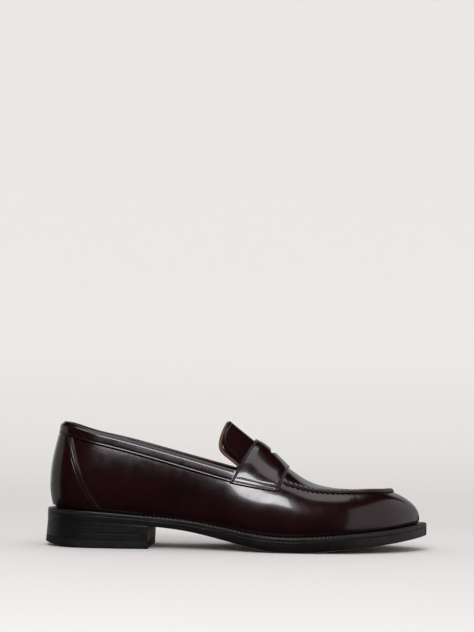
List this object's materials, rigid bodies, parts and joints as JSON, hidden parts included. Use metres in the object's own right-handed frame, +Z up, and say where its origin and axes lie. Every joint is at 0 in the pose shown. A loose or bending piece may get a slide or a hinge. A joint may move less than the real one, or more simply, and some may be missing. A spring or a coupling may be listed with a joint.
{
  "type": "penny loafer",
  "caption": "Right slip-on loafer with a raised apron seam, a slotted saddle strap over the instep, a short tongue, a welted sole and a stacked block heel.",
  "frame": {"origin": "centre of the bounding box in plan, on the ground the shoe stands on", "axes": "+X from the heel to the toe, +Y to the inner (medial) side, +Z up"},
  "size_m": [0.2972, 0.1048, 0.0991],
  "materials": {
    "upper_leather": "polished, burnished dark burgundy calf",
    "lining_leather": "smooth vegetable tanned lining",
    "interlining_cloth": "woven cotton",
    "stiffener_board": "matte leather board",
    "heel_foam": "soft foam",
    "insole_leather": "smooth",
    "cork": "cork granules",
    "steel": "brushed",
    "brass": "plain",
    "welt_leather": "edge dyed and waxed",
    "sole_leather": "edge dyed and waxed",
    "heel_rubber": "matte",
    "upper_thread": "waxed thread",
    "welt_thread": "waxed thread"
  },
  "bodies": {
    "shoe": {"skirt": "upper_leather", "apron": "upper_leather", "saddle_strap": "upper_leather", "collar_band": "upper_leather", "counter_cover": "upper_leather", "quarter_lining": "lining_leather", "vamp_lining": "lining_leather", "apron_lining": "lining_leather", "heel_grip": "lining_leather", "sock_liner": "lining_leather", "interlining": "interlining_cloth", "insole_rib": "interlining_cloth", "counter_stiffener": "stiffener_board", "toe_puff": "stiffener_board", "heel_pad": "heel_foam", "insole": "insole_leather", "cork_filler": "cork", "shank": "steel", "heel_nail": "steel", "top_piece_pin": "brass", "welt": "welt_leather", "heel_rand": "welt_leather", "outsole": "sole_leather", "wedge_lift": "sole_leather", "heel_lift_upper": "sole_leather", "heel_lift_lower": "sole_leather", "heel_top_piece": "heel_rubber", "moc_thread": "upper_thread", "strap_thread": "upper_thread", "collar_thread": "upper_thread", "counter_thread": "upper_thread", "welt_thread": "welt_thread"},
    "tongue": {"tongue": "upper_leather", "tongue_lining": "lining_leather", "tongue_thread": "upper_thread"}
  },
  "joints": [
    {"name": "tongue_flex", "type": "hinge", "parent": "shoe", "child": "tongue", "pos_m": [0.0121, 0, 0.0831], "axis": [0, 1, 0], "range_deg": [-6, 20], "stiffness_Nm_per_rad": 0.05}
  ]
}
